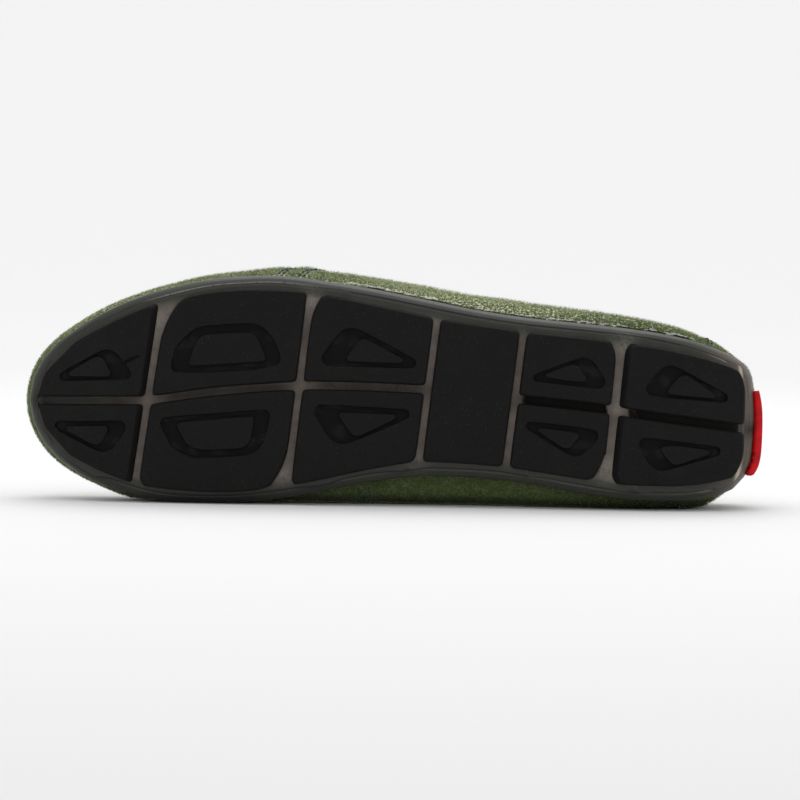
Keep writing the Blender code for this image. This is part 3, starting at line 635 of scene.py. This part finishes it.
rawUpper = creased(copyNode("upper", upper["flatDeg"]), upper["sharpDeg"], upper["crease"])
sharp = [e for e in sharpEdges(rawUpper, upper["rimDeg"])
         if min(inShoe(v.co).z for v in e.verts) > upper["collarLevel"]]
rimVerts = {v for e in sharp for v in e.verts}
collar = []
thin, stout = upper["wall"]
for edge in rawUpper.edges:  # those that cross the wall's edge
    if all(v in rimVerts for v in edge.verts) and thin < edge.calc_length() / mm < stout:
        collar.append(inShoe((edge.verts[0].co + edge.verts[1].co) / 2.0))
middleX, middleY = upper["collarMiddle"]
collar.sort(key=lambda p: math.atan2(p.y - middleY, p.x - middleX))
print("collar points:", len(collar))

upperMesh = rounded(rawUpper, upper["levels"], upper["fitting"])
seam = smoothPath(apron["path"], 1.0)
seamTree = KDTree(len(seam))
for k, p in enumerate(seam):
    seamTree.insert(p, k)
seamTree.balance()

plainTree = BVHTree.FromPolygons([v.co for v in upperMesh.vertices], [p.vertices for p in upperMesh.polygons])
bm = bmesh.new()
bm.from_mesh(upperMesh)
bm.normal_update()
for face in bm.faces:
    face.material_index = 0 if outward(face.calc_center_median(), face.normal) else 1
for lap in laps:  # a close pair of cuts gives each lap a crisp edge
    for shift in (-lapCut, lapCut):
        way = turnShoe @ Vector((1.0, 0.0, -lap["drift"])).normalized()
        side = [f for f in bm.faces if inShoe(f.calc_center_median()).y * lap["side"] > 0.0
                and abs(inShoe(f.calc_center_median()).x - lap["foot"]) < lapSpan]
        geom = side + list({e for f in side for e in f.edges}) + list({v for f in side for v in f.verts})
        spot = atShoe(lap["foot"] + shift, 0.0, lapBase)
        bmesh.ops.bisect_plane(bm, geom=geom, dist=1e-6, plane_co=spot, plane_no=way)
near = {e for f in bm.faces for e in f.edges
        if seamTree.find(inShoe(f.calc_center_median()))[2] < apron["fineReach"]
        and inShoe(f.calc_center_median()).x < apron["gatherBack"] and f.material_index == 0}
bmesh.ops.subdivide_edges(bm, edges=list(near), cuts=1, use_grid_fill=True)
bm.normal_update()


def lapRaise(spot):
    total = 0.0
    for lap in laps:
        if spot.y * lap["side"] <= 0.0:
            continue
        past = (spot.x - lap["foot"] - lap["drift"] * (spot.z - lapBase)) * lap["over"]
        if past > -0.29:
            total += lap["step"] * math.exp(-max(past, 0.0) / lapFade)
    return total


def creaseDrop(spot):
    total = 0.0
    for crease in creases:
        a, b = (Vector(p) for p in crease["ends"])
        along = (b - a).length
        t = (spot - a).dot(b - a) / along ** 2
        if t < -0.2 or t > 1.2:
            continue
        fade = smooth(-0.2, 0.25, t) * (1.0 - smooth(0.75, 1.2, t))
        off = (spot - a - (b - a) * t).length
        width = crease["width"]
        total += crease["depth"] * fade * (0.35 * hump(off - 2.2 * width, width) - hump(off, width))
    return total


def seamRaise(spot):
    co, k, off = seamTree.find(spot)
    if off > apron["reach"]:
        return 0.0
    end = smooth(0.0, apron["ends"], min(k, len(seam) - 1 - k))
    total = apron["ridge"] * hump(off, apron["ridgeWidth"])
    total -= apron["valley"] * hump(off - apron["valleyAt"], apron["valleyWidth"])
    outside = spot.z < co.z
    if outside and spot.x < apron["gatherBack"]:  # the vamp is gathered into the seam round the toe
        fade = math.exp(-off / apron["gatherReach"]) * smooth(0.8, 3.0, off)
        fade *= 1.0 - smooth(apron["gatherFade"], apron["gatherBack"], spot.x)
        total += apron["gather"] * fade * math.sin(2.0 * math.pi * k / apron["gatherPitch"])
    return total * end


moves = []
for vert in bm.verts:
    spot = inShoe(vert.co)
    outer = sum(f.material_index for f in vert.link_faces) * 2 < len(vert.link_faces)
    move = creaseDrop(spot)
    if outer and spot.z - spring(spot.x) > lapBase:
        move += lapRaise(spot) + seamRaise(spot)
    moves.append(vert.normal * (move if outer else -move) * mm)
for vert, move in zip(bm.verts, moves):
    vert.co += move
    vert.co.z = max(vert.co.z, shoe["floorGap"])
faceSides = [f.material_index for f in bm.faces]
upperMesh = meshFrom(bm, "suede_upper")
tuck = {"rim": (80, 284, 4), "half": 2.5, "toe": (98.0, 140.0), "heel": (258.0, 268.0), "level": (18.0, 22.0),
        "deep": 2.0}
rim = []  # how far out the lateral rim stands along the shoe
for station in range(*tuck["rim"]):
    rim.append((station, -min(s.y for s in cupSpots if abs(s.x - station) < tuck["half"])))


def underRim(spot):  # full at the lateral rim as seen from below, nothing a little further out
    if spot.y > between(shoe["axis"], spot.x):
        return 0.0
    reach = smooth(*tuck["toe"], spot.x) * (1.0 - smooth(*tuck["heel"], spot.x))
    reach *= 1.0 - smooth(*tuck["level"], spot.z - spring(spot.x))
    return min(tuck["deep"], max(0.0, tuck["deep"] + spot.y + between(rim, spot.x))) * reach


# how far each point lies under the lateral rim: the suede finish paints shade there, and the nap skips it
tucked = upperMesh.attributes.new("tucked", "FLOAT", "POINT")
for vert, value in zip(upperMesh.vertices, tucked.data):
    value.value = underRim(inShoe(vert.co))
dressPiece("suede_upper", upperMesh, [suedeFinish, liningFinish], ["upper"])
for poly, side in zip(upperMesh.polygons, faceSides):
    poly.material_index = side
upperTree = BVHTree.FromPolygons([v.co for v in upperMesh.vertices], [p.vertices for p in upperMesh.polygons])
print("upper made:", len(upperMesh.polygons), "faces")


def onUpper(spot, reach):  # nearest point of the outside, from a little way out
    out = spot - Vector((spot.x, between(shoe["axis"], spot.x), shoe["sideLevel"]))
    out.x = 0.0
    start = spot + out.normalized() * reach
    hit = upperTree.find_nearest(atShoe(*start))[0]
    slope = plainTree.find_nearest(hit)[1]
    total = slope.copy()
    for way in ((1, 0, 0), (-1, 0, 0), (0, 1, 0), (0, -1, 0), (0, 0, 1), (0, 0, -1)):  # evened over the ridge
        beside = plainTree.find_nearest(hit + Vector(way) * stitch["even"] * mm)[1]
        if beside.dot(slope) > 0.2:
            total += beside
    return hit, total.normalized()


# Flecks of cement on the suede beside the lateral rim, painted pale as glints of light off the glue line
cement = {"seed": 3, "from": 124.0, "to": 262.0, "count": 80, "long": (0.7, 3.2), "thick": 0.42,
          "out": (0.2, 0.8), "below": -60.0}
upward = turnShoe @ Vector((0.0, 0.0, 1.0))
draw = random.Random(cement["seed"])
bm = bmesh.new()
for k in range(cement["count"]):
    station = draw.uniform(cement["from"], cement["to"])
    across = -between(rim, station) - draw.uniform(*cement["out"])
    foot, normal, face, off = upperTree.ray_cast(atShoe(station, across, cement["below"]), upward)
    if not foot:
        continue
    ahead = turnShoe @ Vector((1.0, 0.0, draw.uniform(-0.1, 0.1)))
    ahead = (ahead - normal * ahead.dot(normal)).normalized()
    turn = Matrix((normal.cross(ahead), normal, ahead)).transposed().to_4x4()
    thick = cement["thick"] * draw.uniform(0.5, 1.0) * mm
    size = Matrix.Diagonal((thick, thick, draw.uniform(*cement["long"]) / 2.0 * mm, 1.0))
    bmesh.ops.create_uvsphere(bm, u_segments=6, v_segments=5, radius=1.0,
                              matrix=Matrix.Translation(foot) @ turn @ size)
dressPiece("cement_flecks", meshFrom(bm, "cement_flecks"), [cementFinish])

# Collar binding, turned over the edge of the wall
binding = {"radius": 1.55, "step": 2.5, "rowDrop": 5.0}
line = bpy.data.curves.new("binding", "CURVE")
line.dimensions = "3D"
line.bevel_depth = binding["radius"] * mm
line.bevel_resolution = 3
path = smoothPath(collar, binding["step"], closed=True)
spline = line.splines.new("POLY")
spline.points.add(len(path) - 1)
spline.use_cyclic_u = True
for point, spot in zip(spline.points, path):
    point.co = (*atShoe(*spot), 1.0)
carrier = bpy.data.objects.new("binding", line)
bpy.context.scene.collection.objects.link(carrier)
seen = bpy.context.evaluated_depsgraph_get()
bindingMesh = bpy.data.meshes.new_from_object(carrier.evaluated_get(seen))
bpy.data.objects.remove(carrier)
dressPiece("collar_binding", bindingMesh, [bindingFinish])


# Stitches: small capsules laid along or across a line on the suede
stitch = {"pitch": 3.3, "long": 2.7, "thick": 0.95, "whipPitch": 4.2, "whipLong": 2.4, "whipThick": 0.85,
          "whipSlantDeg": 14.0, "lift": 0.25, "floorClear": 0.1, "even": 4.5, "near": 1.0, "far": 6.0,
          "levels": (13, 60), "overRim": 0.6, "underCollar": 4.0, "collarHalf": 8.0, "noCollar": 57.0,
          "aside": 120.0}
sewn = []


def stitchRow(name, spots, long, thick, reach, across=False, slantDeg=0.0):
    bm = bmesh.new()
    feet = [onUpper(Vector(s), reach) for s in spots]
    sewn.extend(foot for foot, normal in feet)
    for k, (foot, normal) in enumerate(feet):
        ahead = feet[min(k + 1, len(feet) - 1)][0] - feet[max(k - 1, 0)][0]
        ahead = (ahead - normal * ahead.dot(normal)).normalized()
        if across:
            ahead = normal.cross(ahead)
        ahead = Matrix.Rotation(math.radians(slantDeg), 3, normal) @ ahead
        side = normal.cross(ahead)
        turn = Matrix((side, normal, ahead)).transposed().to_4x4()
        size = Matrix.Diagonal((thick / 2.0 * mm, thick / 2.0 * mm, long / 2.0 * mm, 1.0))
        lifted = foot + normal * thick * stitch["lift"] * mm
        lifted.z = max(lifted.z, (thick / 2.0 + stitch["floorClear"]) * mm)
        bmesh.ops.create_uvsphere(bm, u_segments=6, v_segments=5, radius=1.0,
                                  matrix=Matrix.Translation(lifted) @ turn @ size)
    dressPiece(name, meshFrom(bm, name), [threadFinish])


stitchRow("apron_stitches", smoothPath(apron["path"], stitch["whipPitch"])[1:-1], stitch["whipLong"],
          stitch["whipThick"], stitch["far"], across=True, slantDeg=stitch["whipSlantDeg"])
names = ("vamp_stitches_medial", "vamp_stitches_lateral",
         "counter_stitches_medial", "counter_stitches_lateral")
for lap, name in zip(laps, names):
    for number, back in enumerate(lap["rows"]):
        spots = []
        for level in range(*stitch["levels"]):
            station = lap["foot"] + lap["drift"] * (level - lapBase) + back * lap["over"]
            wall = between(cupEdge["wallTop"], station) + spring(station) + stitch["overRim"]
            edges = [p.z for p in collar if abs(p.x - station) < stitch["collarHalf"]]
            top = min(edges, default=stitch["noCollar"]) - stitch["underCollar"]
            if wall < level < top:
                origin = atShoe(station, stitch["aside"] * lap["side"], level)
                hit = upperTree.ray_cast(origin, turnShoe @ Vector((0.0, -lap["side"], 0.0)))[0]
                if hit:
                    spots.append(inShoe(hit))
        stitchRow(f"{name}_{number + 1}", smoothPath(spots, stitch["pitch"]), stitch["long"], stitch["thick"],
                  stitch["near"])
row = [Vector((p.x, p.y, p.z - binding["rowDrop"])) for p in collar]
stitchRow("collar_stitches", smoothPath(row, stitch["pitch"], closed=True), stitch["long"], stitch["thick"],
          stitch["far"])
print("binding and stitches sewn")

# Nap: short brushed fibres standing off the suede, thicker beside the sole
nap = {"seed": 7, "plain": 0.55, "besideSole": 4.0, "long": (0.8, 2.5), "thick": 0.13, "most": 48000,
       "clear": 1.5, "gap": 1.0, "from": 13.0, "thin": (34.0, 48.0), "endShare": 0.45, "toe": (20.0, 120.0),
       "heel": (250.0, 282.0), "comb": (0.55, -0.15), "spread": (0.5, 0.4), "lean": 0.8, "rooted": 0.35}
sewnTree = KDTree(len(sewn))
for k, foot in enumerate(sewn):
    sewnTree.insert(foot, k)
sewnTree.balance()
bm = bmesh.new()
bmesh.ops.create_cone(bm, cap_ends=True, segments=3, radius1=1.0, radius2=0.0, depth=1.0,
                      matrix=Matrix.Translation((0.0, 0.0, nap["rooted"])))
fibre = meshFrom(bm, "fibre")
roots = [v.co.copy() for v in fibre.vertices]
draw = random.Random(nap["seed"])
naps = {"nap_lateral": bmesh.new(), "nap_medial": bmesh.new()}
counts = dict.fromkeys(naps, 0)
for poly in upperMesh.polygons:
    spot = inShoe(poly.center)
    if poly.material_index or spot.z - spring(spot.x) < nap["from"]:
        continue
    name = "nap_lateral" if spot.y < between(shoe["axis"], spot.x) else "nap_medial"
    low = 1.0 - smooth(*nap["thin"], spot.z - spring(spot.x))
    density = nap["plain"] + (nap["besideSole"] - nap["plain"]) * low
    inner = smooth(*nap["toe"], spot.x) * (1.0 - smooth(*nap["heel"], spot.x))
    ends = nap["endShare"] + (1.0 - nap["endShare"]) * inner
    expected = poly.area / mm ** 2 * density
    number = int(expected) + (draw.random() < expected % 1.0)
    corners = [upperMesh.vertices[v].co for v in poly.vertices]
    for n in range(number):
        first, second = draw.random(), draw.random()
        foot = corners[0].lerp(corners[1], first).lerp(corners[-1].lerp(corners[-2], first), second)
        sway = draw.uniform(-nap["spread"][0], nap["spread"][0])
        rise = nap["comb"][1] + draw.uniform(-nap["spread"][1], nap["spread"][1])
        way = poly.normal + turnShoe @ Vector((nap["comb"][0], sway, rise)) * nap["lean"]
        long = draw.uniform(*nap["long"]) * ends
        spot = inShoe(foot)
        if underRim(spot) > nap["gap"] or sewnTree.find(foot)[2] < nap["clear"] * mm:
            continue
        if foot.z + way.normalized().z * long * mm < shoe["floorGap"] or counts[name] >= nap["most"]:
            continue
        turn = way.to_track_quat("Z", "Y").to_matrix().to_4x4()
        size = Matrix.Diagonal((nap["thick"] * mm, nap["thick"] * mm, long * mm, 1.0))
        place = Matrix.Translation(foot) @ turn @ size
        for vert, root in zip(fibre.vertices, roots):
            vert.co = place @ root
        naps[name].from_mesh(fibre)
        counts[name] += 1
for name, bm in naps.items():
    dressPiece(name, meshFrom(bm, name), [napFinish])
print("nap raised:", counts)

# Floor, light and camera
studio = {
    "floorTone": (0.86, 0.86, 0.865), "halfWidth": 6.0, "front": -4.5, "back": 3.6, "height": 4.5,
    "bend": 1.4, "bendSteps": 24, "ambient": 0.80, "lampAim": (0.0, 0.0, 0.04),
    "keySize": 1.2, "keyPower": 3.4, "keyPlace": (-0.10, -0.30, 1.30),
    "backGlow": (0.19, 0.19, 0.19), "rimSize": 0.8, "rimPower": 4.5, "rimPlace": (0.1, 0.55, 1.10),
}


def paleFloor():
    f = Finish("pale_floor", {"Specular IOR Level": 0.1, "Emission Strength": 1.0})
    drift = f.noise(1.3, 2.0, 0.5, f.spot)
    tone = studio["floorTone"]
    colour = f.mix(drift, [0.99 * c for c in tone], tone)
    glow = f.split(f.spot)[1].above(0.2, 2.2)
    shine = f.mix(glow, (0.0, 0.0, 0.0), studio["backGlow"])
    return f.wear(colour=colour, roughness=0.75 + 0.1 * drift, glow=shine)


bm = bmesh.new()
ends = [bm.verts.new((x, studio["front"], 0.0)) for x in (-studio["halfWidth"], studio["halfWidth"])]
strip = bm.edges.new(ends)
for step in ((0.0, studio["back"] - studio["front"], 0.0), (0.0, 0.0, studio["height"])):
    made = bmesh.ops.extrude_edge_only(bm, edges=[strip])["geom"]
    verts = [v for v in made if isinstance(v, bmesh.types.BMVert)]
    bmesh.ops.translate(bm, vec=step, verts=verts)
    strip = [e for e in made if isinstance(e, bmesh.types.BMEdge) and all(v in verts for v in e.verts)][0]
fold = [e for e in bm.edges if len(e.link_faces) == 2]
bmesh.ops.bevel(bm, geom=fold, offset=studio["bend"], offset_type="OFFSET", affect="EDGES",
                segments=studio["bendSteps"], profile=0.5, material=-1)
bmesh.ops.recalc_face_normals(bm, faces=bm.faces)
if sum(f.normal.z for f in bm.faces) < 0.0:
    bmesh.ops.reverse_faces(bm, faces=bm.faces)
floorMesh = meshFrom(bm, "pale_floor")
floorMesh.materials.append(paleFloor())
floorMesh.shade_smooth()
floorPiece = bpy.data.objects.new("pale_floor", floorMesh)
bpy.context.scene.collection.objects.link(floorPiece)
floorPiece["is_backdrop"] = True

world = bpy.data.worlds.new("soft_room")
bpy.context.scene.world = world
world.use_nodes = True
world.node_tree.nodes["Background"].inputs["Color"].default_value = (1.0, 1.0, 1.0, 1.0)
world.node_tree.nodes["Background"].inputs["Strength"].default_value = studio["ambient"]


def softbox(name, place, size, power):
    lamp = bpy.data.lights.new(name, "AREA")
    lamp.shape = "SQUARE"
    lamp.size = size
    lamp.energy = power
    box = bpy.data.objects.new(name, lamp)
    bpy.context.scene.collection.objects.link(box)
    box.location = place
    box.rotation_euler = (Vector(studio["lampAim"]) - Vector(place)).to_track_quat("-Z", "Y").to_euler()


softbox("key_light", studio["keyPlace"], studio["keySize"], studio["keyPower"])
softbox("rim_light", studio["rimPlace"], studio["rimSize"], studio["rimPower"])

lens = {"distance": 1.9, "elevationDeg": 2.5, "acrossMm": 312.8, "aim": (146.2, 0.0, 1.0), "sensor": 36.0}
eye = bpy.data.cameras.new("camera")
eye.sensor_width = lens["sensor"]
eye.lens = lens["sensor"] * lens["distance"] / (lens["acrossMm"] * mm)
eye.dof.use_dof = False
camera = bpy.data.objects.new("camera", eye)
bpy.context.scene.collection.objects.link(camera)
bpy.context.scene.camera = camera
tilt = math.radians(lens["elevationDeg"])
ahead = Vector((0.0, math.cos(tilt), -math.sin(tilt)))
along = turnShoe @ Vector((1.0, 0.0, 0.0))  # the shoe's length lies level in the picture
right = (along - ahead * ahead.dot(along)).normalized()
upright = right.cross(ahead)
aim = atShoe(*lens["aim"])
turn = Matrix((right, upright, -ahead)).transposed().to_4x4()
camera.matrix_world = Matrix.Translation(aim - ahead * lens["distance"]) @ turn
bpy.context.scene.view_settings.view_transform = "Standard"
print("camera and light set")

dressedLow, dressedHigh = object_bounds()
size = {"cad": [list(cadLow), list(cadHigh)], "dressed": [list(dressedLow), list(dressedHigh)]}
